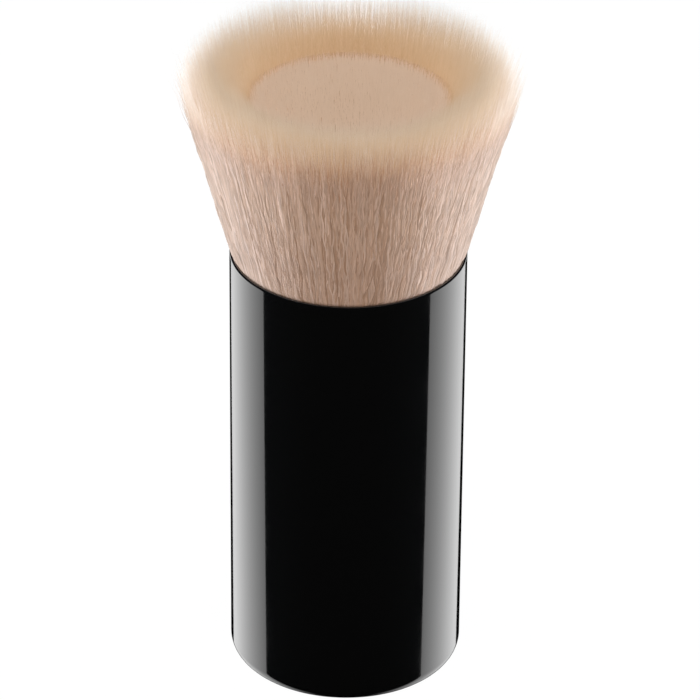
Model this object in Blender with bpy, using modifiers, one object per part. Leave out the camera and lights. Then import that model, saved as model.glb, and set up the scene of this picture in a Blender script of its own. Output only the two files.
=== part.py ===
"""A flat-topped makeup brush with a powder dish in its head, as the pieces that it is put together from.

A lacquered barrel holds a moulded core with a steel weight, and above it a ferrule with the tied
and potted fibre tuft. A ring of long fibres stands around a shorter middle tuft, which leaves the dish.
Metres, +Z up, and the origin is the middle of the barrel's foot.
"""

import math
import random

import bmesh
import bpy
from mathutils import Matrix

# Clearance between pieces that touch on the real brush
FIT_GAP = 0.0003

# Barrel, a drawn aluminium cup
BARREL_RADIUS = 0.0160
BARREL_HEIGHT = 0.0627
BARREL_WALL = 0.0006
BARREL_FLOOR = 0.0010
FOOT_EDGE_RADIUS = 0.0020
RIM_EDGE_RADIUS = 0.0003

# Adhesive pad that holds the core to the barrel's floor
PAD_THICKNESS = 0.0008
PAD_EDGE_MARGIN = 0.0012

# Moulded core with a pocket for the weight and a ring-shaped groove that keeps its walls even
CORE_WALL = 0.0018
CORE_GROOVE_WIDTH = 0.0022
POCKET_WALL = 0.0018
CORE_WEB = 0.0040

# Steel weight, which fills the pocket
WEIGHT_CHAMFER = 0.0006

# Ferrule, a thin drawn cup with a vent hole, sunk below the rim
FERRULE_WALL = 0.0004
FERRULE_DEPTH = 0.0210
FERRULE_RECESS = 0.0050
VENT_RADIUS = 0.0015

# Tuft root: potting, tie band and how far the bonded roots end below the rim
POTTING_HEIGHT = 0.0070
TIE_THICKNESS = 0.0006
TIE_HEIGHT = 0.0055
TIE_LIFT = 0.0015
ROOT_TOP_DEPTH = 0.0090

# Dressed head, measured up from the barrel's rim
NECK_HEIGHT = 0.0030
NECK_RADIUS = 0.0167
SHOULDER_HEIGHT = 0.0256
HEAD_RADIUS = 0.0227
CREST_HEIGHT = 0.0279
CREST_RADIUS = 0.0183
DISH_RADIUS = 0.0134
DISH_FLOOR_HEIGHT = 0.0230

# Strands: how many stand in each row of a bundle, from the dish outwards, and in the middle tuft
BUNDLES = 8
ROW_COUNTS = (5, 5, 6, 7, 8)
MIDDLE_RINGS = 7
MIDDLE_RING_STEP = 6
STRAND_SIDES = 3
STRAND_ROOT_SHARE = 0.45
STRAND_TIP_SHARE = 0.56
STRAND_SINK = 0.0005
LENGTH_SPREAD = 0.0003
SHAPE_SEED = 11

# Fineness of the turned pieces and of the arcs
BARREL_STEPS = 72
INNER_STEPS = 48
EDGE_STEPS = 4
ROOT_ARC_STEPS = 5
MERGE_DISTANCE = 0.00001
SHARP_ANGLE = math.radians(40)

# Radii from the barrel inwards
BARREL_BORE = BARREL_RADIUS - BARREL_WALL
CORE_RADIUS = BARREL_BORE - FIT_GAP
GROOVE_OUTER = CORE_RADIUS - CORE_WALL
GROOVE_INNER = GROOVE_OUTER - CORE_GROOVE_WIDTH
POCKET_RADIUS = GROOVE_INNER - POCKET_WALL
WEIGHT_RADIUS = POCKET_RADIUS - FIT_GAP
PAD_RADIUS = CORE_RADIUS - PAD_EDGE_MARGIN
FERRULE_OUTER = BARREL_BORE - FIT_GAP
FERRULE_BORE = FERRULE_OUTER - FERRULE_WALL
POTTING_RADIUS = FERRULE_BORE - FIT_GAP
TIE_INNER = POTTING_RADIUS - TIE_THICKNESS
ROOT_RADIUS = TIE_INNER - FIT_GAP
MOUTH_RADIUS = BARREL_BORE - FIT_GAP

# Levels from the foot upwards
RIM = BARREL_HEIGHT
PAD_LOW = BARREL_FLOOR + FIT_GAP
PAD_HIGH = PAD_LOW + PAD_THICKNESS
FERRULE_HIGH = RIM - FERRULE_RECESS
FERRULE_LOW = FERRULE_HIGH - FERRULE_DEPTH
CORE_LOW = PAD_HIGH + FIT_GAP
CORE_HIGH = FERRULE_LOW - FIT_GAP
FOOT_CORNER_RADIUS = min(FOOT_EDGE_RADIUS - BARREL_WALL, CORE_LOW - BARREL_FLOOR)
POCKET_HIGH = CORE_HIGH - CORE_WEB
WEIGHT_HIGH = POCKET_HIGH - FIT_GAP
POTTING_LOW = FERRULE_LOW + FERRULE_WALL + FIT_GAP
POTTING_HIGH = POTTING_LOW + POTTING_HEIGHT
ROOT_LOW = POTTING_HIGH + FIT_GAP
ROOT_HIGH = RIM - ROOT_TOP_DEPTH
TIE_LOW = ROOT_LOW + TIE_LIFT
TIE_HIGH = TIE_LOW + TIE_HEIGHT
NECK = RIM + NECK_HEIGHT
SHOULDER = RIM + SHOULDER_HEIGHT
CREST = RIM + CREST_HEIGHT
DISH_FLOOR = RIM + DISH_FLOOR_HEIGHT


def start_scene():
    """Empties the scene and makes the collections for the pieces and for the cutters."""
    for old in list(bpy.data.objects):
        bpy.data.objects.remove(old)
    collections = []
    for name in ("makeup_brush", "cutters"):
        collection = bpy.data.collections.new(name)
        bpy.context.scene.collection.children.link(collection)
        collections.append(collection)
    return collections


PIECES, CUTTERS = start_scene()


def finish(name, colour, roughness, metallic=0.0):
    """A Principled material with one colour."""
    material = bpy.data.materials.new(name)
    material.use_nodes = True
    shader = material.node_tree.nodes["Principled BSDF"]
    shader.inputs["Base Color"].default_value = (*colour, 1.0)
    shader.inputs["Roughness"].default_value = roughness
    shader.inputs["Metallic"].default_value = metallic
    return material


BLACK_LACQUER = finish("black_lacquer", (0.004, 0.004, 0.004), 0.06)
MOULDED_PLASTIC = finish("moulded_plastic", (0.10, 0.10, 0.11), 0.5)
TAPE = finish("adhesive_tape", (0.75, 0.74, 0.70), 0.8)
ZINC_STEEL = finish("zinc_plated_steel", (0.62, 0.63, 0.65), 0.3, 1.0)
ALUMINIUM = finish("drawn_aluminium", (0.80, 0.81, 0.83), 0.25, 1.0)
EPOXY = finish("epoxy", (0.55, 0.42, 0.22), 0.2)
THREAD = finish("binding_thread", (0.70, 0.66, 0.58), 0.85)
LONG_FIBRE = finish("long_fibre", (0.62, 0.43, 0.30), 0.6)
MIDDLE_FIBRE = finish("middle_fibre", (0.58, 0.39, 0.27), 0.65)


def add_piece(name, mesh, material):
    """A mesh as one named piece in its own material."""
    mesh.materials.append(material)
    piece = bpy.data.objects.new(name, mesh)
    PIECES.objects.link(piece)
    return piece


def arc(centre_x, centre_z, radius, first, last):
    """Points along an arc in the profile's plane, from one angle in degrees to another."""
    angles = [math.radians(first + (last - first) * i / EDGE_STEPS) for i in range(EDGE_STEPS + 1)]
    return [(centre_x + radius * math.cos(a), centre_z + radius * math.sin(a)) for a in angles]


def turned(name, profile, steps, material, closed=False):
    """A profile of (radius, height) points, outer side running down, turned round Z."""
    mesh = bpy.data.meshes.new(name)
    edges = [(i, i + 1) for i in range(len(profile) - 1)]
    if closed:
        edges.append((len(profile) - 1, 0))
    mesh.from_pydata([(x, 0.0, z) for x, z in profile], edges, [])
    piece = add_piece(name, mesh, material)
    screw = piece.modifiers.new("Turn", "SCREW")
    screw.axis = "Z"
    screw.angle = math.tau
    screw.steps = steps
    screw.render_steps = steps
    screw.use_smooth_shade = True
    screw.use_merge_vertices = True
    screw.merge_threshold = MERGE_DISTANCE
    return piece


def disc_mesh(name, radius, low, high):
    """A plain cylinder between two heights, with its place in its mesh."""
    mesh = bpy.data.meshes.new(name)
    form = bmesh.new()
    bmesh.ops.create_cone(
        form,
        cap_ends=True,
        segments=INNER_STEPS,
        radius1=radius,
        radius2=radius,
        depth=high - low,
        matrix=Matrix.Translation((0.0, 0.0, (low + high) / 2)),
    )
    form.to_mesh(mesh)
    form.free()
    mesh.shade_smooth()
    mesh.set_sharp_from_angle(angle=SHARP_ANGLE)
    return mesh


def slice_arc(radius, first, last):
    """Points along an arc round the axis that stops half a clearance short of the angles at its ends."""
    inset = math.asin(FIT_GAP / 2 / radius)
    step = (last - first - 2 * inset) / ROOT_ARC_STEPS
    angles = [first + inset + step * i for i in range(ROOT_ARC_STEPS + 1)]
    return [(radius * math.cos(a), radius * math.sin(a)) for a in angles]


def slice_mesh(name, inner, outer, first, last, low, high):
    """A slice of a ring between two radii, two angles and two heights, from a filled 2D curve."""
    outline = slice_arc(outer, first, last) + slice_arc(inner, first, last)[::-1]
    curve = bpy.data.curves.new(name, "CURVE")
    curve.dimensions = "2D"
    curve.fill_mode = "BOTH"
    curve.extrude = (high - low) / 2
    spline = curve.splines.new("POLY")
    spline.points.add(len(outline) - 1)
    for point, (x, y) in zip(spline.points, outline):
        point.co = (x, y, 0.0, 1.0)
    spline.use_cyclic_u = True
    guide = bpy.data.objects.new(name + "_outline", curve)
    CUTTERS.objects.link(guide)
    graph = bpy.context.evaluated_depsgraph_get()
    mesh = bpy.data.meshes.new_from_object(guide.evaluated_get(graph))
    bpy.data.objects.remove(guide)
    form = bmesh.new()
    form.from_mesh(mesh)
    bmesh.ops.remove_doubles(form, verts=form.verts, dist=MERGE_DISTANCE)
    bmesh.ops.recalc_face_normals(form, faces=form.faces)
    bmesh.ops.translate(form, vec=(0.0, 0.0, (low + high) / 2), verts=form.verts)
    form.to_mesh(mesh)
    form.free()
    return mesh


def between(first, last, share):
    """The value at a share of the way from first to last."""
    return first + (last - first) * share


def outer_radius(height):
    """Radius of the whole tuft at a height: bound at its root, full at the mouth, then flaring."""
    if height <= RIM:
        way_up = max(0.0, (height - ROOT_HIGH) / (RIM - ROOT_HIGH))
        return between(ROOT_RADIUS, MOUTH_RADIUS, way_up)
    if height <= NECK:
        return between(MOUTH_RADIUS, NECK_RADIUS, (height - RIM) / (NECK - RIM))
    return between(NECK_RADIUS, HEAD_RADIUS, (height - NECK) / (SHOULDER - NECK))


# The middle tuft's share of the whole radius, which holds at every height because the fibres fan out alike
MIDDLE_RADIUS_SHARE = DISH_RADIUS / outer_radius(DISH_FLOOR)
SPLIT_RADIUS = ROOT_RADIUS * MIDDLE_RADIUS_SHARE


def ring_tip_level(radius):
    """Level of the long fibres' tips at a radius: a curve down from the crest to the dish and to the side."""
    if radius > CREST_RADIUS:
        low, low_radius = SHOULDER, HEAD_RADIUS
    else:
        low, low_radius = DISH_FLOOR, DISH_RADIUS
    away = (radius - CREST_RADIUS) / (low_radius - CREST_RADIUS)
    return CREST - (CREST - low) * away * away


def strand_size(pitch, height):
    """Circumradius of a strand at a height: a share of the pitch of the rows there, which grows to the tip."""
    way_up = (height - ROOT_HIGH) / (SHOULDER - ROOT_HIGH)
    return pitch * between(STRAND_ROOT_SHARE, STRAND_TIP_SHARE, way_up)


def long_station(row_share, height):
    """Place of a long strand at a height: its distance from the axis, the height and its size."""
    size = strand_size(outer_radius(height) * (1.0 - MIDDLE_RADIUS_SHARE) / len(ROW_COUNTS), height)
    inner = outer_radius(height) * MIDDLE_RADIUS_SHARE + FIT_GAP / 2 + size
    outer = outer_radius(height) - size / 2
    return between(inner, outer, row_share), height, size


def middle_station(ring_share, height):
    """Place of a middle strand at a height."""
    size = strand_size(outer_radius(height) * MIDDLE_RADIUS_SHARE / MIDDLE_RINGS, height)
    outer = outer_radius(height) * MIDDLE_RADIUS_SHARE - FIT_GAP / 2 - size / 2
    return outer * ring_share, height, size


def grow_strand(form, azimuth, stations):
    """Adds one strand: a triangle at its root, extruded from place to place.

    A corner points to the axis, so that a flat side faces outwards.
    """
    turn = Matrix.Rotation(azimuth, 4, "Z")
    places = []
    for radius, height, size in stations:
        places.append(turn @ Matrix.Translation((radius, 0.0, height)) @ Matrix.Scale(size, 4))
    corner_inwards = Matrix.Rotation(math.radians(90), 4, "Z")
    root = bmesh.ops.create_circle(
        form, cap_ends=True, segments=STRAND_SIDES, radius=1.0, matrix=places[0] @ corner_inwards
    )
    face = root["verts"][0].link_faces[0]
    for number, (here, there) in enumerate(zip(places, places[1:])):
        grown = bmesh.ops.extrude_face_region(form, geom=[face])["geom"]
        if number > 0:
            bmesh.ops.delete(form, geom=[face], context="FACES_ONLY")
        face = next(item for item in grown if isinstance(item, bmesh.types.BMFace))
        bmesh.ops.transform(form, matrix=there @ here.inverted(), verts=face.verts)


def tuft(name, root_mesh, strands, material):
    """Strands, each (azimuth, stations), fused to the slice of bonded root that they grow from."""
    mesh = bpy.data.meshes.new(name + "_strands")
    form = bmesh.new()
    for azimuth, stations in strands:
        grow_strand(form, azimuth, stations)
    bmesh.ops.recalc_face_normals(form, faces=form.faces)
    form.to_mesh(mesh)
    form.free()
    grown = bpy.data.objects.new(name + "_strands", mesh)
    grown.hide_render = True
    grown.display_type = "WIRE"
    CUTTERS.objects.link(grown)
    piece = add_piece(name, root_mesh, material)
    fuse = piece.modifiers.new("Fuse", "BOOLEAN")
    fuse.operation = "UNION"
    fuse.object = grown
    return piece


def make_barrel():
    """The glossy cup that is the handle's outside, closed and rounded at its foot."""
    rim_edge = BARREL_RADIUS - RIM_EDGE_RADIUS
    foot_edge = BARREL_RADIUS - FOOT_EDGE_RADIUS
    corner = FOOT_CORNER_RADIUS
    profile = [(0.0, BARREL_FLOOR)]
    profile += arc(BARREL_BORE - corner, BARREL_FLOOR + corner, corner, -90, 0)
    profile.append((BARREL_BORE, RIM))
    profile += arc(rim_edge, RIM - RIM_EDGE_RADIUS, RIM_EDGE_RADIUS, 90, 0)
    profile += arc(foot_edge, FOOT_EDGE_RADIUS, FOOT_EDGE_RADIUS, 0, -90)
    profile.append((0.0, 0.0))
    turned("barrel", profile, BARREL_STEPS, BLACK_LACQUER)


def make_core():
    """The moulded core: an outer wall, a groove, the wall of the weight's pocket, and a web on top."""
    profile = [
        (0.0, CORE_HIGH),
        (CORE_RADIUS, CORE_HIGH),
        (CORE_RADIUS, CORE_LOW),
        (GROOVE_OUTER, CORE_LOW),
        (GROOVE_OUTER, POCKET_HIGH),
        (GROOVE_INNER, POCKET_HIGH),
        (GROOVE_INNER, CORE_LOW),
        (POCKET_RADIUS, CORE_LOW),
        (POCKET_RADIUS, POCKET_HIGH),
        (0.0, POCKET_HIGH),
    ]
    turned("handle_core", profile, INNER_STEPS, MOULDED_PLASTIC)


def make_weight():
    """The steel weight, with its edges chamfered, and the adhesive pad under it and the core."""
    weight_mesh = disc_mesh("weight_slug", WEIGHT_RADIUS, CORE_LOW, WEIGHT_HIGH)
    weight = add_piece("weight_slug", weight_mesh, ZINC_STEEL)
    chamfer = weight.modifiers.new("Chamfer", "BEVEL")
    chamfer.width = WEIGHT_CHAMFER
    chamfer.segments = 1
    chamfer.limit_method = "ANGLE"
    chamfer.angle_limit = SHARP_ANGLE
    add_piece("base_pad", disc_mesh("base_pad", PAD_RADIUS, PAD_LOW, PAD_HIGH), TAPE)


def make_ferrule():
    """The aluminium cup that the tuft is potted in, with a vent hole in its floor."""
    floor_high = FERRULE_LOW + FERRULE_WALL
    profile = [
        (VENT_RADIUS, floor_high),
        (FERRULE_BORE, floor_high),
        (FERRULE_BORE, FERRULE_HIGH),
        (FERRULE_OUTER, FERRULE_HIGH),
        (FERRULE_OUTER, FERRULE_LOW),
        (VENT_RADIUS, FERRULE_LOW),
    ]
    turned("ferrule", profile, INNER_STEPS, ALUMINIUM, closed=True)


def make_binding():
    """The cured epoxy under the roots, and the wound band that ties them."""
    potting = disc_mesh("root_potting", POTTING_RADIUS, POTTING_LOW, POTTING_HIGH)
    add_piece("root_potting", potting, EPOXY)
    profile = [
        (TIE_INNER, TIE_HIGH),
        (POTTING_RADIUS, TIE_HIGH),
        (POTTING_RADIUS, TIE_LOW),
        (TIE_INNER, TIE_LOW),
    ]
    turned("tie_band", profile, INNER_STEPS, THREAD, closed=True)


def make_long_bundles():
    """The ring of long fibres round the dish, as bundles that stand side by side."""
    lengths = random.Random(SHAPE_SEED)
    inner = SPLIT_RADIUS + FIT_GAP / 2
    sweep = math.tau / BUNDLES
    for bundle in range(BUNDLES):
        first = sweep * bundle
        strands = []
        for row, count in enumerate(ROW_COUNTS):
            row_share = row / (len(ROW_COUNTS) - 1)
            tip_radius = between(DISH_RADIUS, HEAD_RADIUS, (row + 0.5) / len(ROW_COUNTS))
            for place in range(count):
                tip = ring_tip_level(tip_radius) - lengths.uniform(0.0, LENGTH_SPREAD)
                heights = (ROOT_HIGH - STRAND_SINK, RIM, NECK, tip)
                stations = [long_station(row_share, height) for height in heights]
                strands.append((first + sweep * (place + 0.5) / count, stations))
        name = f"long_bundle_{bundle + 1}"
        root = slice_mesh(name, inner, ROOT_RADIUS, first, first + sweep, ROOT_LOW, ROOT_HIGH)
        tuft(name, root, strands, LONG_FIBRE)


def make_middle_tuft():
    """The shorter tuft whose cut tips are the dish's floor."""
    lengths = random.Random(SHAPE_SEED)
    strands = []
    for ring in range(MIDDLE_RINGS + 1):
        count = max(1, MIDDLE_RING_STEP * ring)
        for place in range(count):
            tip = DISH_FLOOR - lengths.uniform(0.0, LENGTH_SPREAD)
            heights = (ROOT_HIGH - STRAND_SINK, RIM, tip)
            stations = [middle_station(ring / MIDDLE_RINGS, height) for height in heights]
            strands.append((math.tau * (place + 0.5) / count, stations))
    root = disc_mesh("middle_tuft", SPLIT_RADIUS - FIT_GAP / 2, ROOT_LOW, ROOT_HIGH)
    tuft("middle_tuft", root, strands, MIDDLE_FIBRE)


make_barrel()
make_core()
make_weight()
make_ferrule()
make_binding()
make_long_bundles()
make_middle_tuft()
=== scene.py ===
# %% [markdown]
# # A flat-topped makeup brush
#
# The brush stands on a straight handle of drawn aluminium in gloss black lacquer. Its head is a
# dense tuft of fine synthetic fibres that flares from the handle's rim. A ring of long fibres
# stands round a shorter middle tuft, so the head holds a shallow dish for loose powder.
#
# The construction is fixed: the frame gives every piece its place. This script makes the looks
# around it, which for a brush means three things: a lacquer that mirrors the studio, tens of
# thousands of fibres, and the light.

# %% Load the frame
import math

import bmesh
import bpy
import numpy as np
from mathutils import Matrix, Vector


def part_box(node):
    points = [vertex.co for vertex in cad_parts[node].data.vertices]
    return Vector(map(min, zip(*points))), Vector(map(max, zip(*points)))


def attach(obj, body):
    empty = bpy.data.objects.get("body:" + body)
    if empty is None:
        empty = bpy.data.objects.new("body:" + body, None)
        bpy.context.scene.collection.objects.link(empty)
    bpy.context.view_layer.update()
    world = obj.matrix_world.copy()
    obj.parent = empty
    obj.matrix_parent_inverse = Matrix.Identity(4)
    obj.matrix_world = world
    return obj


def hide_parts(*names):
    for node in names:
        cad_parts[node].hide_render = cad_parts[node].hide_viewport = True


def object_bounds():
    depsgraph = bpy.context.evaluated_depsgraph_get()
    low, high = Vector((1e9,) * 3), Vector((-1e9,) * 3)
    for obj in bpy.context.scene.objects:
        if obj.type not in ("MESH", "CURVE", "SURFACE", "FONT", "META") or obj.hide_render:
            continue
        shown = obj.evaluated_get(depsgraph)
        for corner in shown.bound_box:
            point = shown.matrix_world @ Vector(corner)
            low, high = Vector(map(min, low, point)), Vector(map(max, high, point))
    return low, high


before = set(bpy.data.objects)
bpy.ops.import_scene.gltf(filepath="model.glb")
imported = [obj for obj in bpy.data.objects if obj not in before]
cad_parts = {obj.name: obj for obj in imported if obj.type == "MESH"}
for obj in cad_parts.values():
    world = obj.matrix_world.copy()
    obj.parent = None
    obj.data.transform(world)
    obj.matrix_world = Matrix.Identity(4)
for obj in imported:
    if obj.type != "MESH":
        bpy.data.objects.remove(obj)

cad_low, cad_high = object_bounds()
print("CAD box in mm:", [round(1000 * c, 1) for c in (*cad_low, *cad_high)])

# %% [markdown]
# Everything on the brush is round, so a few radii and levels describe it. Those that the frame can
# tell are measured on it: the barrel's radius, the level of the dish's floor, the crest, and the
# head's radius, past which the thickest strands of the solids reach a little. The rest are the
# head's own profile.

# %% Sizes that the frame gives and the head's profile
MM = 0.001
FOOT_LEVEL = cad_low[2]
RIM_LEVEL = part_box("barrel")[1][2]
BARREL_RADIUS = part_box("barrel")[1][0]
DISH_FLOOR_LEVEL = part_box("middle_tuft")[1][2]
CREST_LEVEL = cad_high[2]
STRAND_REACH = 0.2 * MM
HEAD_RADIUS = cad_high[0] - STRAND_REACH

WALL = 0.6 * MM
BORE_RADIUS = BARREL_RADIUS - WALL
NECK_LEVEL = RIM_LEVEL + 3.0 * MM
NECK_RADIUS = 16.7 * MM
SHOULDER_LEVEL = RIM_LEVEL + 25.6 * MM
CREST_RADIUS = 18.3 * MM
DISH_RADIUS = 13.4 * MM
ROOT_LEVEL = RIM_LEVEL - 6.0 * MM
ROOT_RADIUS = BORE_RADIUS - 1.2 * MM
print("Rim", RIM_LEVEL / MM, "crest", CREST_LEVEL / MM, "dish floor", DISH_FLOOR_LEVEL / MM)

# %% [markdown]
# The camera stands where the photographer's did: well back with a long lens, looking down at the
# brush by a third of a right angle. It could be set by eye, but the curves of the rim and the foot
# against the handle's straight sides fix that angle, so it was worked out from them.

# %% Camera
VIEW_DOWN = math.radians(31.31)
VIEW_DISTANCE = 54.0 * BARREL_RADIUS
LENS = 324.8
SENSOR = 36.0
CLIP_START = 0.05
LEAN = math.radians(0.52)
AIM = Vector((0.33 * MM, 0.0, 46.9 * MM))
MIDDLE_OF_HANDLE = (FOOT_LEVEL + RIM_LEVEL) / 2

camera_data = bpy.data.cameras.new("camera")
camera_data.lens = LENS
camera_data.sensor_width = SENSOR
camera_data.clip_start = CLIP_START
camera = bpy.data.objects.new("camera", camera_data)
bpy.context.scene.collection.objects.link(camera)
camera.location = (
    0.0,
    -VIEW_DISTANCE * math.cos(VIEW_DOWN),
    MIDDLE_OF_HANDLE + VIEW_DISTANCE * math.sin(VIEW_DOWN),
)
towards = AIM - camera.location
turn = towards.to_track_quat("-Z", "Y").to_matrix() @ Matrix.Rotation(LEAN, 3, "Z")
camera.rotation_euler = turn.to_euler()
bpy.context.scene.camera = camera
print("Camera at", [round(c, 3) for c in camera.location])

# %% [markdown]
# A material's colours are given as the hex values that a designer would pick on screen. Blender
# works in linear light, so one function turns them. A second one adds a node with its settings and
# its links.

# %% Colour and node helpers
def linear(hex_colour):
    """sRGB hex to linear RGBA: c / 12.92 in the dark part, and ((c + 0.055) / 1.055) ** 2.4 above it."""
    values = [int(hex_colour[i:i + 2], 16) / 255 for i in (1, 3, 5)]
    return [c / 12.92 if c <= 0.04045 else ((c + 0.055) / 1.055) ** 2.4 for c in values] + [1.0]


def add(tree, kind, settings=None, inputs=None, stops=()):
    """Adds a node. settings are its own properties; an input is a value or another node's output socket.

    stops are the (position, hex colour) pairs of a colour ramp.
    """
    node = tree.nodes.new(kind)
    for key, value in (settings or {}).items():
        setattr(node, key, value)
    for key, value in (inputs or {}).items():
        if isinstance(value, bpy.types.NodeSocket):
            tree.links.new(value, node.inputs[key])
        else:
            node.inputs[key].default_value = value
    for place, (position, colour) in enumerate(sorted(stops)):
        elements = node.color_ramp.elements
        element = elements[place] if place < 2 else elements.new(position)
        element.position = position
        element.color = linear(colour)
    return node


def new_material(name):
    """An empty node material, and the tree to fill."""
    material = bpy.data.materials.new(name)
    material.use_nodes = True
    material.node_tree.nodes.clear()
    return material, material.node_tree


def principled(name, tree, shader_inputs):
    """Ends a tree in one Principled shader with these inputs."""
    shader = add(tree, "ShaderNodeBsdfPrincipled", inputs=shader_inputs)
    add(tree, "ShaderNodeOutputMaterial", inputs={"Surface": shader.outputs["BSDF"]})
    print("Material", name)


print("Half bright on screen is", round(linear("#808080")[0], 3), "in linear light")

# %% [markdown]
# The floor is a sheet that glows evenly and lights nothing, so it looks the same everywhere and
# shows no shadow, as in the photograph. A sheet that only the lamps lit would be brighter near
# them. A second sheet in the same place, which the camera doesn't see, sends the lamps' light back
# up as white paper does. The air round them gives the soft light that comes from everywhere.

# %% Floor and surroundings
def surface_object(name, vertices, faces, material):
    """A mesh object at the origin from arrays of vertices and faces."""
    mesh = bpy.data.meshes.new(name)
    mesh.from_pydata([tuple(v) for v in vertices], [], [tuple(f) for f in faces])
    mesh.materials.append(material)
    item = bpy.data.objects.new(name, mesh)
    bpy.context.scene.collection.objects.link(item)
    return item


FLOOR_HALF = 3.0
FLOOR_GLOW = 0.98
corners = FLOOR_HALF * np.array([(-1, -1), (1, -1), (1, 1), (-1, 1)])


def paper_sheet(name, shade, glow):
    """A square sheet on the foot's level that has this shade and glows by so much."""
    paper, tree = new_material(name)
    principled(name, tree, {
        "Base Color": linear(shade),
        "Roughness": 0.9,
        "Specular IOR Level": 0.0,
        "Emission Color": linear("#FFFFFF"),
        "Emission Strength": glow,
    })
    points = np.column_stack([corners, np.full(4, FOOT_LEVEL)])
    sheet = surface_object(name, points, [(0, 1, 2, 3)], paper)
    sheet.visible_glossy = False
    return sheet


seen_floor = paper_sheet("studio_floor", "#2A2A2A", FLOOR_GLOW)
seen_floor.visible_diffuse = False
bounce_floor = paper_sheet("bounce_floor", "#F4F4F4", 0.0)
bounce_floor.visible_camera = False
bounce_floor.visible_shadow = False

AIR_STRENGTH = 0.52
world = bpy.data.worlds.new("studio_air")
world.use_nodes = True
world.node_tree.nodes.clear()
air = add(world.node_tree, "ShaderNodeBackground", inputs={
    "Color": linear("#FFFFFF"),
    "Strength": AIR_STRENGTH,
})
add(world.node_tree, "ShaderNodeOutputWorld", inputs={"Surface": air.outputs["Background"]})
world.cycles_visibility.glossy = False
bpy.context.scene.world = world
bpy.context.scene.view_settings.view_transform = "Standard"

# %% [markdown]
# The black handle shows what a light leaves out: it mirrors only what lies low beside and behind
# it. There two tall white cards stand, which give the two bright strips, and between them is
# darkness, which gives the thin dark outline. Lamps could give the strips as well, but they would
# light the head too. The cards are parts of a sphere round the brush, and only reflections see
# them.

# %% Reflector cards
CARD_DISTANCE = 0.6
CARD_CENTRE_LEVEL = 0.03
CARD_LOW = -78.0
CARD_HIGH = -6.0
CARD_GLOW = 1.12
EDGE_GLOW_SHARE = 0.92
BULGE_GLOW_SHARE = 0.5
FADE_ANGLE = 35.0
CARDS = {"card_left": (-1.0, 87.0, 155.0), "card_right": (1.0, 84.0, 153.0)}

card_white, tree = new_material("glowing_card")
glow_level = add(tree, "ShaderNodeAttribute", {"attribute_name": "glow"})
glow = add(tree, "ShaderNodeEmission", inputs={
    "Color": linear("#FFFFFF"),
    "Strength": glow_level.outputs["Fac"],
})
add(tree, "ShaderNodeOutputMaterial", inputs={"Surface": glow.outputs["Emission"]})
card_white.cycles.emission_sampling = "NONE"


def reflector_card(name, side, front, back, across=24, upward=16):
    """A card on a sphere round the brush, between two angles from the front and two from the horizon.

    Its glow is brightest in the middle of its width, by a sine, and fades out towards its lower edge.
    """
    round_angle = np.radians(np.linspace(front, back, across))[None, :]
    rise = np.radians(np.linspace(CARD_LOW, CARD_HIGH, upward))[:, None]
    x = side * CARD_DISTANCE * np.cos(rise) * np.sin(round_angle)
    y = -CARD_DISTANCE * np.cos(rise) * np.cos(round_angle)
    z = CARD_DISTANCE * np.sin(rise) + 0.0 * round_angle + CARD_CENTRE_LEVEL
    points = np.stack([x, y, z], axis=-1).reshape(-1, 3)
    index = np.arange(upward * across).reshape(upward, across)
    corner_grids = [index[:-1, :-1], index[:-1, 1:], index[1:, 1:], index[1:, :-1]]
    faces = np.stack(corner_grids, axis=-1).reshape(-1, 4)
    card = surface_object(name, points, faces.tolist(), card_white)
    share = np.linspace(0.0, 1.0, across)[None, :]
    bulge = EDGE_GLOW_SHARE + BULGE_GLOW_SHARE * np.sin(np.pi * share)
    fade = np.clip((np.degrees(rise) - CARD_LOW) / FADE_ANGLE, 0.0, 1.0)
    glow_values = (CARD_GLOW * bulge * fade).reshape(-1).astype(np.float32)
    card.data.attributes.new("glow", "FLOAT", "POINT").data.foreach_set("value", glow_values)
    card.visible_camera = False
    card.visible_diffuse = False
    card.visible_shadow = False


for name, (side, front, back) in CARDS.items():
    reflector_card(name, side, front, back)
print("Cards:", ", ".join(CARDS))

# %% [markdown]
# Square lamps, wide for so small a thing, light the head, and all face its middle. One stands high
# in front. At each side a low one stands a little behind the brush and lights the edge of the
# flank, which is nearly white in the photograph. A weak one beside it reaches a little further
# round to the front. The side lamps are a little cooler than the front one. A picture of a studio
# all round could light the head too, but lamps can be set one by one.

# %% Soft lights
HEAD_MIDDLE = (0.0, 0.0, 0.07)
PLAIN_WHITE = "#FFFFFF"
COOL_WHITE = "#DEEFFF"
FRONT_PLACE = (0.0, -0.5, 0.75)
FRONT_SIZE = 0.5
FRONT_WATTS = 4.1
SIDE_SIZE = 0.22
SIDE_LAMPS = {"low_light": (0.6, 0.22, 0.04, 9.7), "level_light": (0.65, 0.0, 0.04, 1.1)}


def soft_light(name, place, size, watts, colour):
    """A square area light that faces the middle of the head and that no reflection shows."""
    data = bpy.data.lights.new(name, "AREA")
    data.shape = "SQUARE"
    data.size = size
    data.energy = watts
    data.color = linear(colour)[:3]
    lamp = bpy.data.objects.new(name, data)
    bpy.context.scene.collection.objects.link(lamp)
    lamp.location = place
    lamp.rotation_euler = (Vector(HEAD_MIDDLE) - Vector(place)).to_track_quat("-Z", "Y").to_euler()
    lamp.visible_camera = False
    lamp.visible_glossy = False


soft_light("front_light", FRONT_PLACE, FRONT_SIZE, FRONT_WATTS, PLAIN_WHITE)
for side in (-1, 1):
    for name, (out, behind, level, watts) in SIDE_LAMPS.items():
        soft_light(name, (side * out, behind, level), SIDE_SIZE, watts, COOL_WHITE)

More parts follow.
